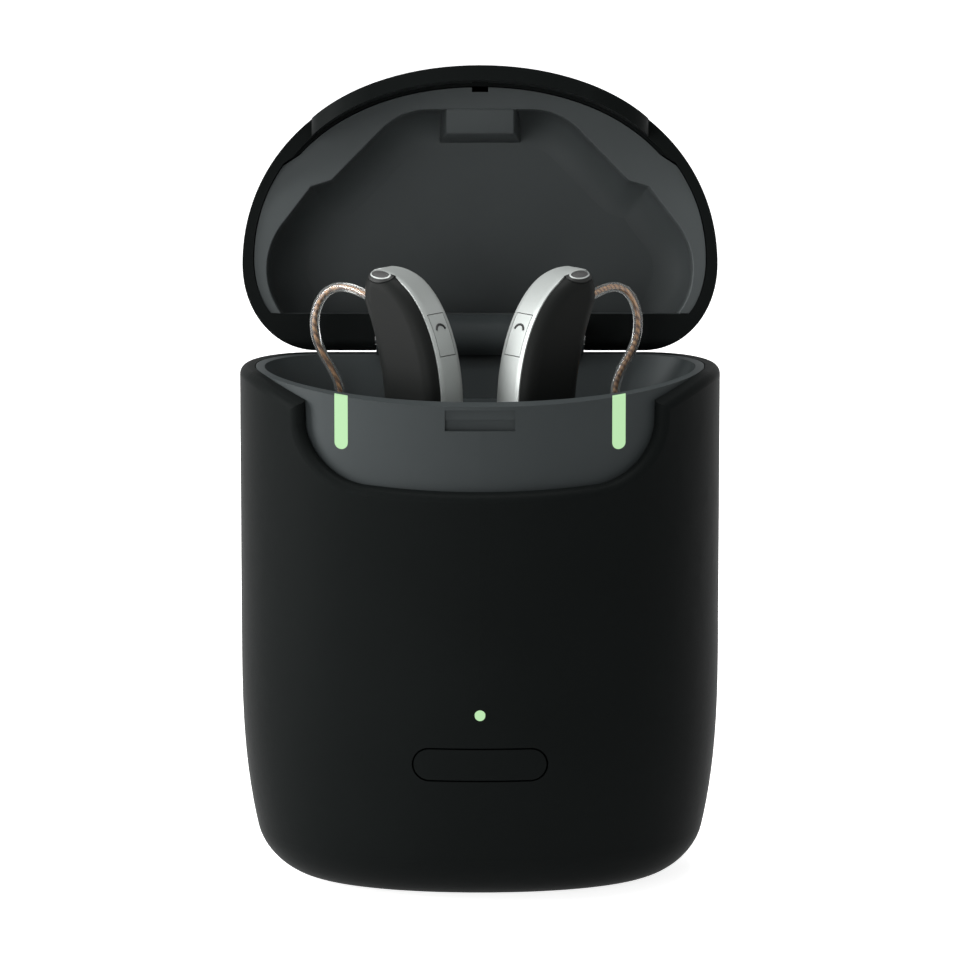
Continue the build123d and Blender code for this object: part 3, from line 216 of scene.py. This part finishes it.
def thick_front(x, y):
    """Whether a place lies where the lid's wall is thicker, round its front."""
    return y < THICK_FROM + THICK_SLOPE * max(0, x - THICK_CORNER)


def land_edge():
    """The right half of the land's edge, which steps in where the lid's wall is thicker."""
    thin = [p for p in case_side(THIN_WALL) if p[1] < LINER_BACK and not thick_front(*p)]
    thick = [p for p in case_side(THICK_WALL) if thick_front(*p) and p[0] > NOTCH_HALF]
    notch = [(NOTCH_HALF, NOTCH_FRONT), (NOTCH_HALF, NOTCH_BACK)]
    return [(thin[0][0] + BACK_STEP, LINER_BACK)] + thin + thick + notch


def arc_through(a, b, c, steps):
    """Points of the circle's arc from a through b to c, without c."""
    doubled = 2 * (a[0] * (b[1] - c[1]) + b[0] * (c[1] - a[1]) + c[0] * (a[1] - b[1]))
    far_a, far_b, far_c = [p[0] ** 2 + p[1] ** 2 for p in (a, b, c)]
    x = (far_a * (b[1] - c[1]) + far_b * (c[1] - a[1]) + far_c * (a[1] - b[1])) / doubled
    y = (far_a * (c[0] - b[0]) + far_b * (a[0] - c[0]) + far_c * (b[0] - a[0])) / doubled
    radius = math.hypot(a[0] - x, a[1] - y)
    first = math.atan2(a[1] - y, a[0] - x)
    sweep = (math.atan2(c[1] - y, c[0] - x) - first + math.pi) % (2 * math.pi) - math.pi
    turns = [first + sweep * i / steps for i in range(steps)]
    return [(x + radius * math.cos(turn), y + radius * math.sin(turn)) for turn in turns]


def straight(a, b, steps):
    """Points of the line from a to b, without b."""
    return [tuple(p + (q - p) * i / steps for p, q in zip(a, b)) for i in range(steps)]


def hollow_edge():
    """The hollow's lobed edge from its right back corner round the front to its left one."""
    start, lobe, shoulder = (0.0293, LINER_BACK), (0.0314, 0.00935), (0.0287, 0.00155)
    corner, joint = (0.0249, -0.0034), (0.0219, -0.00435)
    side, turn, front = (0.0146, -0.0118), (0.0113, -0.01405), (0.0074, -0.0148)
    right = arc_through(start, lobe, shoulder, 16)
    right += straight(shoulder, corner, 7) + straight(corner, joint, 4) + straight(joint, side, 12)
    right += arc_through(side, turn, front, 8) + straight(front, (0, front[1]), 8)
    return right + [(0, front[1])] + [(-x, y) for x, y in reversed(right)]


def inward(edge, reach):
    """The direction into the hollow at each of its edge's points, evened out over a reach."""
    raw = []
    for i in range(len(edge)):
        before, after = edge[max(i - 1, 0)], edge[min(i + 1, len(edge) - 1)]
        along = Vector((after[0] - before[0], after[1] - before[1])).normalized()
        raw.append(Vector((along.y, -along.x)))
    even = []
    for point in edge:
        total = Vector((0, 0))
        for other, direction in zip(edge, raw):
            apart = math.hypot(other[0] - point[0], other[1] - point[1])
            total += direction * math.exp(-((apart / reach) ** 2))
        even.append(total.normalized())
    even[0], even[-1] = Vector((-1, 0)), Vector((1, 0))
    return even


def lid_reach(level):
    """How far the lid's inner face lies in from the case's outline at a height."""
    rise = min(max(level - DOME_START, 0), DOME_TURN * DOME_NEAR_TOP) / DOME_TURN
    return DOME_WALL + DOME_TURN * (1 - math.sqrt(1 - rise * rise))


def kept_inside(x, y, level):
    """A place of the hollow's wall, drawn in to where the lid's dome leaves it room."""
    side = case_side(lid_reach(level) + DOME_SPARE)
    angle = math.atan2(y - DOME_MIDDLE, abs(x))
    for (ax, ay), (bx, by) in zip(side, side[1:]):
        first, last = math.atan2(ay - DOME_MIDDLE, ax), math.atan2(by - DOME_MIDDLE, bx)
        if last <= angle <= first:
            share = (first - angle) / max(first - last, 1e-9)
            room_x, room_y = ax + (bx - ax) * share, ay + (by - ay) * share - DOME_MIDDLE
            scale = min(1, math.hypot(room_x, room_y) / math.hypot(x, y - DOME_MIDDLE))
            return (x * scale, DOME_MIDDLE + (y - DOME_MIDDLE) * scale)
    return (x, y)


def room_at_back(level):
    """How far to the side the lid's dome lets the liner's back edge reach at a height."""
    side = case_side(lid_reach(level) + DOME_SPARE)
    return max((x for x, y in side if y > LINER_BACK), default=0)


def mesh_of(shape, name, material):
    """The mesh in one material that a bmesh gives, which is freed."""
    data = bpy.data.meshes.new(name)
    shape.to_mesh(data)
    shape.free()
    data.materials.append(material)
    return data


edge = hollow_edge()
into = inward(edge, EVENED_OVER)
levels = [
    (-EDGE_BREAK, LAND_LEVEL),
    (0, LAND_LEVEL + EDGE_BREAK),
    (0, OVER_RAILS),
    (0, CEILING - WALL_ROUND),
]
for step in range(1, ROUND_STEPS + 1):
    angle = math.pi / 2 * step / ROUND_STEPS
    inset = WALL_ROUND * (1 - math.cos(angle))
    levels.append((inset, CEILING - WALL_ROUND * (1 - math.sin(angle))))

liner_mesh = bmesh.new()
rows = []
for inset, level in levels:
    row = [(x + n.x * inset, y + n.y * inset) for (x, y), n in zip(edge, into)]
    if inset > 0:
        row = [kept_inside(x, y, level) for x, y in row]
        reach = min(row[0][0], room_at_back(level))
        row[0], row[-1] = (reach, LINER_BACK), (-reach, LINER_BACK)
    rows.append([liner_mesh.verts.new(opened_lid(x, y, level)) for x, y in row])
for low, high in zip(rows, rows[1:]):
    for i in range(len(edge) - 1):
        liner_mesh.faces.new((low[i], low[i + 1], high[i + 1], high[i])).smooth = True
half_land = land_edge()
land = half_land + [(-x, y) for x, y in reversed(half_land)]
land_row = [liner_mesh.verts.new(opened_lid(x, y, LAND_LEVEL)) for x, y in land]
over_rails = rows[2:]
liner_mesh.faces.new(rows[0] + land_row[::-1])
hollow_floor = liner_mesh.faces.new(rows[-1])
liner_mesh.faces.new([row[0] for row in over_rails] + [row[-1] for row in reversed(over_rails)])
bmesh.ops.recalc_face_normals(liner_mesh, faces=liner_mesh.faces)
if hollow_floor.normal.y > 0:
    bmesh.ops.reverse_faces(liner_mesh, faces=liner_mesh.faces)
for ridge in liner_mesh.edges:
    if len(ridge.link_faces) == 2 and ridge.calc_face_angle(0) > SHARP_FROM:
        ridge.smooth = False
liner = placed("lid_liner_skin", mesh_of(liner_mesh, "lid_liner_skin", liner_grey))
skin = liner.modifiers.new("skin", "SOLIDIFY")
skin.thickness = LINER_SKIN
skin.offset = -1
skin.use_even_offset = True
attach(liner, "lid")
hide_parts("lid_liner")


# Latch block. A small block of the liner's own moulding at the front of its hollow, whose
# sides slope out to the hollow's floor and whose face leans back a little.

LATCH_HALF, LATCH_FRONT, LATCH_BACK = 0.005, -0.0151, -0.01125
LATCH_FACE, LATCH_LEAN = 0.0781, 0.0007
LATCH_SPREAD = 0.0011
LATCH_EDGE = 0.00025

latch_mesh = bmesh.new()
face_row, floor_row = [], []
for x_side, back in ((-1, 0), (1, 0), (1, 1), (-1, 1)):
    x, y = x_side * LATCH_HALF, LATCH_BACK if back else LATCH_FRONT
    face_at = opened_lid(x, y, LATCH_FACE + (LATCH_LEAN if back else -LATCH_LEAN))
    spread = (x + LATCH_SPREAD * x_side, y + LATCH_SPREAD * back)
    face_row.append(latch_mesh.verts.new(face_at))
    floor_row.append(latch_mesh.verts.new(opened_lid(*spread, CEILING + LINER_SKIN / 2)))
latch_mesh.faces.new(face_row)
latch_mesh.faces.new(floor_row)
for i, after in enumerate((1, 2, 3, 0)):
    latch_mesh.faces.new((face_row[i], face_row[after], floor_row[after], floor_row[i]))
bmesh.ops.recalc_face_normals(latch_mesh, faces=latch_mesh.faces)
bmesh.ops.bevel(
    latch_mesh,
    geom=list(latch_mesh.edges),
    offset=LATCH_EDGE,
    segments=3,
    affect="EDGES",
    profile=0.5,
)
for face in latch_mesh.faces:
    face.smooth = True
latch = placed("lid_latch_block", mesh_of(latch_mesh, "lid_latch_block", liner_grey))
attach(latch, "lid")


# Light bars and status light. Frosted light guides, set flush in the tray's front and the
# shell's front, and lit pale green from behind.

glow = moulded("lit_green", (0.03, 0.05, 0.03), 0.45, gloss=0.1, shade=0.03, depth=0.02)
lit = glow.node_tree.nodes["Principled BSDF"]
lit.inputs["Emission Color"].default_value = (0.47, 0.74, 0.41, 1)
lit.inputs["Emission Strength"].default_value = 1.0
dress(glow, "left_light_bar", "right_light_bar", "status_light")


# The rest of the case: rubber foot pad, steel hinge pin, screws and charging socket, the
# frame, cell, boards, flat flex and gilt contact pins, which only show when it is opened.

DRAWN_SCALE = (4, 4, 0.4)


def object_place(tree):
    """The output that gives a material each point's place in its piece."""
    return next(n for n in tree.nodes if n.type == "TEX_COORD").outputs["Object"]


def metal(name, colour, roughness):
    """A metal with fine lines drawn along one way of the object."""
    material = moulded(name, colour, roughness, shade=0.06, grain=900, depth=0.03)
    tree = material.node_tree
    tree.nodes["Principled BSDF"].inputs["Metallic"].default_value = 1
    stretch = {"Scale": DRAWN_SCALE, "Vector": object_place(tree)}
    drawn = add_node(tree, "ShaderNodeMapping", stretch)
    for noise in [n for n in tree.nodes if n.type == "TEX_NOISE"]:
        feed(tree, drawn.outputs["Vector"], noise.inputs["Vector"])
    return material


rubber = moulded("black_rubber", (0.010, 0.010, 0.010), 0.75, gloss=0.2, grain=1500, depth=0.2)
dress(rubber, "foot_pad")
steel = metal("bright_steel", (0.62, 0.62, 0.63), 0.28)
dress(steel, "hinge_pin", "base_screws", "tray_screws", "board_screws", "charging_socket")
dress(moulded("frame_plastic", (0.10, 0.10, 0.11), 0.6), "inner_frame")
board_green = moulded("board_green", (0.01, 0.07, 0.03), 0.35, shade=0.2, grain=700)
dress(board_green, "main_board", "contact_board", "port_board")
dress(moulded("switch_black", (0.02, 0.02, 0.02), 0.4), "key_switch")
dress(moulded("chip_white", (0.75, 0.75, 0.65), 0.3), "board_leds")
dress(metal("cell_foil", (0.60, 0.62, 0.64), 0.35), "battery_cell")
dress(moulded("flex_amber", (0.35, 0.15, 0.03), 0.4), "flex_cable")
gilt = metal("gilt_contact", (0.80, 0.58, 0.25), 0.25)
dress(gilt, "left_contact_pins", "right_contact_pins")


# Hearing aids. Each is a dark housing with a silver cover along its spine, which holds
# the push button, an oval microphone port at the tip, and a clear receiver wire. The silver
# is paint on the dark plastic, and below the port it ends in a narrow rim.

SIDES = {"left": 1, "right": -1}
AID_TURN = math.radians(38)
DARK_PLASTIC = (0.0085, 0.0092, 0.0088)
SILVER = (0.36, 0.38, 0.37)
SILVER_METALLIC = 0.40
PORT_CENTRE = (-0.01424, 0.00037, 0.0890)
PORT_ACROSS = (math.cos(AID_TURN), -math.sin(AID_TURN), 0)
PORT_LIES, PORT_RISES = 0.8, 0.6
PORT_UP = (PORT_LIES * math.sin(AID_TURN), PORT_LIES * math.cos(AID_TURN), PORT_RISES)
PAINT_RIM_WIDE, PAINT_RIM_TALL = 0.00165, 0.00093
RIM_BLUR = 0.1
PAINT_LINE, LINE_BLUR = 0.0006, 0.00005
PAINT_RIGHT_END, END_BLUR = 0.0023, 0.0001


def combined(tree, operation, a, b):
    """The output of a Math node on two outputs or numbers."""
    return add_node(tree, "ShaderNodeMath", {0: a, 1: b}, operation=operation).outputs["Value"]


def silver_paint(side):
    """Silver paint that leaves the plastic dark below the rim of the side's microphone port."""
    name = f"{side}_aid_silver"
    material = moulded(name, SILVER, 0.46, gloss=0.2, shade=0.06, grain=6000, depth=0.08)
    tree = material.node_tree
    shader = tree.nodes["Principled BSDF"]
    flip = Vector((SIDES[side], 1, 1))

    def along(direction, length=1):
        inputs = {0: from_port, 1: Vector([p / length for p in direction]) * flip}
        node = add_node(tree, "ShaderNodeVectorMath", inputs, operation="DOT_PRODUCT")
        return node.outputs["Value"]

    def ramp(source, start, end):
        inputs = {"Value": source, "From Min": start, "From Max": end}
        return add_node(tree, "ShaderNodeMapRange", inputs).outputs["Result"]

    inputs = {0: object_place(tree), 1: Vector(PORT_CENTRE) * flip}
    moved = add_node(tree, "ShaderNodeVectorMath", inputs, operation="SUBTRACT")
    from_port = moved.outputs["Vector"]
    wide = along(PORT_ACROSS, PAINT_RIM_WIDE)
    tall = along(PORT_UP, PAINT_RIM_TALL)
    wide_squared = combined(tree, "MULTIPLY", wide, wide)
    tall_squared = combined(tree, "MULTIPLY", tall, tall)
    outside = ramp(combined(tree, "ADD", wide_squared, tall_squared), 1, 1 + RIM_BLUR)
    below = ramp(along(PORT_UP), PAINT_LINE, PAINT_LINE - LINE_BLUR)
    near = ramp(along(PORT_ACROSS), PAINT_RIGHT_END, PAINT_RIGHT_END - END_BLUR)
    bare = combined(tree, "MULTIPLY", combined(tree, "MULTIPLY", outside, below), near)
    tone = next(n for n in tree.nodes if n.type == "MIX").outputs["Result"]
    ends = {"A": tone, "B": (*DARK_PLASTIC, 1), "Factor": bare}
    colour = add_node(tree, "ShaderNodeMix", ends, data_type="RGBA")
    feed(tree, colour.outputs["Result"], shader.inputs["Base Color"])
    limits = {"To Min": SILVER_METALLIC, "To Max": 0, "Value": bare}
    metallic = add_node(tree, "ShaderNodeMapRange", limits)
    feed(tree, metallic.outputs["Result"], shader.inputs["Metallic"])
    return material


aid_dark = moulded("aid_dark", DARK_PLASTIC, 0.46, gloss=0.05, grain=4000)
port_mesh = moulded("port_mesh", (0.02, 0.02, 0.02), 0.5, grain=9000, depth=0.5)
soft_dome = moulded("soft_dome", (0.16, 0.17, 0.17), 0.55)
for side in SIDES:
    dress(aid_dark, f"{side}_aid_housing", f"{side}_receiver")
    dress(silver_paint(side), f"{side}_aid_spine_cover", f"{side}_aid_push_button")
    dress(port_mesh, f"{side}_microphone_port")
    dress(soft_dome, f"{side}_ear_dome")


# Touch marks. Each push button has a small raised arc near its upper end, found by the fingertip,
# moulded with the button. Its dark grey is painted shade, standing in for the shade inside a small
# notch at the button's upper end.

MARK_RADIUS = 0.00102
MARK_RISE = 0.0010
MARK_BAR = 0.00018
MARK_POINTS = 13
MARK_FROM, MARK_SPAN = 0.08, 0.84
SPINE_OUT, SPINE_UP = 0.92893, 0.37025
WELL_OUTSIDE = 0.004

# The arc's dark grey is painted shade of a notch, not a colour of the button.
notch_shade_grey = moulded("notch_shade_grey", (0.025, 0.025, 0.025), 0.45, gloss=0.2, grain=5000)
for side, flip in SIDES.items():
    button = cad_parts[f"{side}_aid_push_button"]
    low, high = [Vector(corner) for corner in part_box(f"{side}_aid_push_button")]
    middle = (low + high) / 2
    sideways, forwards = SPINE_OUT * math.cos(AID_TURN) * flip, -SPINE_OUT * math.sin(AID_TURN)
    outward = Vector((sideways, forwards, SPINE_UP))
    across = Vector((math.sin(AID_TURN) * flip, math.cos(AID_TURN), 0))
    upward = across.cross(outward)
    upward *= 1 if upward.z > 0 else -1
    surface = BVHTree.FromPolygons(
        [v.co for v in button.data.vertices], [tuple(p.vertices) for p in button.data.polygons]
    )
    arc = bpy.data.curves.new("touch_arc", "CURVE")
    arc.dimensions = "3D"
    arc.bevel_depth = MARK_BAR
    arc.bevel_resolution = 3
    arc.use_fill_caps = True
    spline = arc.splines.new("POLY")
    spline.points.add(MARK_POINTS - 1)
    for i, point in enumerate(spline.points):
        angle = math.pi * (MARK_FROM + MARK_SPAN * i / (MARK_POINTS - 1))
        start = middle + upward * (MARK_RISE + MARK_RADIUS * math.sin(angle) - MARK_RADIUS / 2)
        start += across * MARK_RADIUS * math.cos(angle) + outward * WELL_OUTSIDE
        point.co = (*surface.ray_cast(start, -outward)[0], 1)
    holder = placed("touch_arc", arc)
    bpy.context.view_layer.update()
    mark_mesh = bpy.data.meshes.new_from_object(
        holder.evaluated_get(bpy.context.evaluated_depsgraph_get())
    )
    bpy.data.objects.remove(holder)
    mark = placed(f"{side}_touch_mark", mark_mesh)
    mark_mesh.materials.clear()
    mark_mesh.materials.append(notch_shade_grey)
    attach(mark, f"{side}_aid_key")


# Receiver wires. Each is a clear, slightly milky tube, moulded to its bends, that leads from the
# aid to its receiver, with a pair of enamelled copper leads wound together in it. The leads are
# drawn as one round copper core, and its diagonal bands of painted shade and painted highlight
# stand in for the light on the winding.

TUBE_RADIUS = 0.00070
CORE_RADIUS = 0.00024
WIRE_ROUTE = (
    (-0.0143, 0.0040, 0.0844),
    (-0.0188, 0.0078, 0.0869),
    (-0.0234, 0.0106, 0.0852),
    (-0.0247, 0.0112, 0.0788),
    (-0.0204, 0.0121, 0.0716),
    (-0.0206, 0.0117, 0.0679),
    (-0.0209, 0.0070, 0.0679),
)
TIGHTER = {
    "left": [0] * len(WIRE_ROUTE),
    "right": (0, 0.0004, 0.0010, 0.0011, 0.0009, 0.0003, 0),
}
# Shaded and lit copper: the painted shade and painted highlight of the leads' winding.
SHADED_COPPER, LIT_COPPER = (0.09, 0.030, 0.008), (0.38, 0.20, 0.085)


def round_bar_along_path():
    """A Geometry Nodes tree that sweeps a circle along the object's own curve."""
    tree = bpy.data.node_groups.new("round_bar_along_path", "GeometryNodeTree")
    kinds = {"Path": "Geometry", "Radius": "Float", "Sides": "Int", "Finish": "Material"}
    for name, kind in kinds.items():
        tree.interface.new_socket(name, in_out="INPUT", socket_type=f"NodeSocket{kind}")
    tree.interface.new_socket("Bar", in_out="OUTPUT", socket_type="NodeSocketGeometry")
    given = tree.nodes.new("NodeGroupInput").outputs
    circle = {"Radius": given["Radius"], "Resolution": given["Sides"]}
    ring = add_node(tree, "GeometryNodeCurvePrimitiveCircle", circle)
    route = {
        "Curve": given["Path"],
        "Profile Curve": ring.outputs["Curve"],
        "Fill Caps": True,
    }
    sweep = add_node(tree, "GeometryNodeCurveToMesh", route)
    bar = {"Geometry": sweep.outputs["Mesh"]}
    smooth = add_node(tree, "GeometryNodeSetShadeSmooth", bar)
    bar = {"Geometry": smooth.outputs["Geometry"]}
    whole = add_node(tree, "GeometryNodeRealizeInstances", bar)
    bar = {"Geometry": whole.outputs["Geometry"], "Material": given["Finish"]}
    finished = add_node(tree, "GeometryNodeSetMaterial", bar)
    add_node(tree, "NodeGroupOutput", {"Bar": finished.outputs["Geometry"]})
    return tree


def made_by(tree, source, name, **values):
    """The mesh piece that a Geometry Nodes tree makes from an object, its inputs set."""
    modifier = source.modifiers.new("making", "NODES")
    modifier.node_group = tree
    for socket in tree.interface.items_tree:
        if socket.in_out == "INPUT" and socket.name in values:
            modifier[socket.identifier] = values[socket.name]
    bpy.context.view_layer.update()
    made = source.evaluated_get(bpy.context.evaluated_depsgraph_get())
    mesh = bpy.data.meshes.new_from_object(made)
    source.modifiers.remove(modifier)
    mesh.name = name
    return placed(name, mesh)


def wire_path(side):
    """A wire's smooth route: the left one, or its mirror image, a little tighter."""
    data = bpy.data.curves.new("wire_path", "CURVE")
    data.dimensions = "3D"
    data.resolution_u = 16
    spline = data.splines.new("NURBS")
    spline.points.add(len(WIRE_ROUTE) - 1)
    for point, (x, y, z), closer in zip(spline.points, WIRE_ROUTE, TIGHTER[side]):
        point.co = ((x + closer) * SIDES[side], y, z, 1)
    spline.order_u = 3
    spline.use_endpoint_u = True
    return placed("wire_path", data)


clear_tube = moulded("clear_tube", (0.90, 0.92, 0.90), 0.08, shade=0.03, depth=0.01)
tube_shader = clear_tube.node_tree.nodes["Principled BSDF"]
tube_shader.inputs["Transmission Weight"].default_value = 0.93
tube_shader.inputs["IOR"].default_value = 1.40

copper_with_painted_twist = moulded("copper_with_painted_twist", LIT_COPPER, 0.30, grain=3000)
lead_tree = copper_with_painted_twist.node_tree
turns = {"Vector": object_place(lead_tree), "Scale": 600, "Distortion": 1.2}
# Wave bands between shaded and lit copper: painted shade and painted highlights standing in for
# the two wound leads.
painted_twist_bands = add_node(lead_tree, "ShaderNodeTexWave", turns, bands_direction="DIAGONAL")
painted_twist_shading = add_node(lead_tree, "ShaderNodeValToRGB", {"Fac": painted_twist_bands.outputs["Fac"]})
for stop, colour in zip(painted_twist_shading.color_ramp.elements, (SHADED_COPPER, LIT_COPPER)):
    stop.color = (*colour, 1)
lead_shader = lead_tree.nodes["Principled BSDF"]
feed(lead_tree, painted_twist_shading.outputs["Color"], lead_shader.inputs["Base Color"])

round_bar = round_bar_along_path()
for side in SIDES:
    path = wire_path(side)
    clear = {"Radius": TUBE_RADIUS, "Sides": 24, "Finish": clear_tube}
    tube = made_by(round_bar, path, f"{side}_wire_tube", **clear)
    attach(tube, f"{side}_aid")
    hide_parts(f"{side}_receiver_wire")
    copper = {"Radius": CORE_RADIUS, "Sides": 16, "Finish": copper_with_painted_twist}
    leads = made_by(round_bar, path, f"{side}_wire_leads", **copper)
    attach(leads, f"{side}_aid")
    bpy.data.objects.remove(path)


# Studio. A pale floor under a pale sky, a big soft lamp on the left, weaker ones in front and
# above, and a faint one on the right. Camera, mirrors and glass see floor and sky as white.

WHITE = (1, 1, 1, 1)
FLOOR_SEEN = 0.85
SKY_LIGHT = 0.30
LAMP_TARGET = (0, 0, 0.06)


def seen_directly(tree):
    """A value that is 1 where camera, mirror or glass looks straight at this material."""
    rays = tree.nodes.new("ShaderNodeLightPath")
    seen = rays.outputs["Is Camera Ray"]
    for kind in ("Is Transmission Ray", "Is Glossy Ray"):
        seen = combined(tree, "MAXIMUM", seen, rays.outputs[kind])
    return seen


floor_material = bpy.data.materials.new("pale_floor")
floor_material.use_nodes = True
floor_tree = floor_material.node_tree
floor_shader = floor_tree.nodes["Principled BSDF"]
floor_shader.inputs["Base Color"].default_value = (0.80, 0.80, 0.80, 1)
floor_shader.inputs["Roughness"].default_value = 0.9
floor_shader.inputs["Specular IOR Level"].default_value = 0
floor_shader.inputs["Emission Color"].default_value = WHITE
floor_glow = combined(floor_tree, "MULTIPLY", seen_directly(floor_tree), FLOOR_SEEN)
feed(floor_tree, floor_glow, floor_shader.inputs["Emission Strength"])
bpy.ops.mesh.primitive_plane_add(size=8, location=(0, 0, 0))
floor = bpy.context.object
floor.name = "floor"
floor.data.materials.append(floor_material)

world = bpy.data.worlds.new("studio")
bpy.context.scene.world = world
world.use_nodes = True
sky = world.node_tree
background = sky.nodes["Background"]
background.inputs["Color"].default_value = WHITE
sky_glow = combined(sky, "MAXIMUM", seen_directly(sky), SKY_LIGHT)
feed(sky, sky_glow, background.inputs["Strength"])


def soft_lamp(name, place, power, width, height):
    """A rectangular soft lamp aimed at the case."""
    data = bpy.data.lights.new(name, "AREA")
    data.shape = "RECTANGLE"
    data.size = width
    data.size_y = height
    data.energy = power
    aim(placed(name, data), place, LAMP_TARGET)


soft_lamp("left_lamp", (-0.80, -0.11, 0.30), 12, 0.30, 0.70)
soft_lamp("front_lamp", (-0.52, -1.00, 0.20), 4.7, 0.60, 0.50)
soft_lamp("right_lamp", (0.80, -0.35, 0.25), 0.1, 0.25, 0.60)
soft_lamp("top_lamp", (0, -0.05, 0.90), 5.5, 0.50, 0.40)
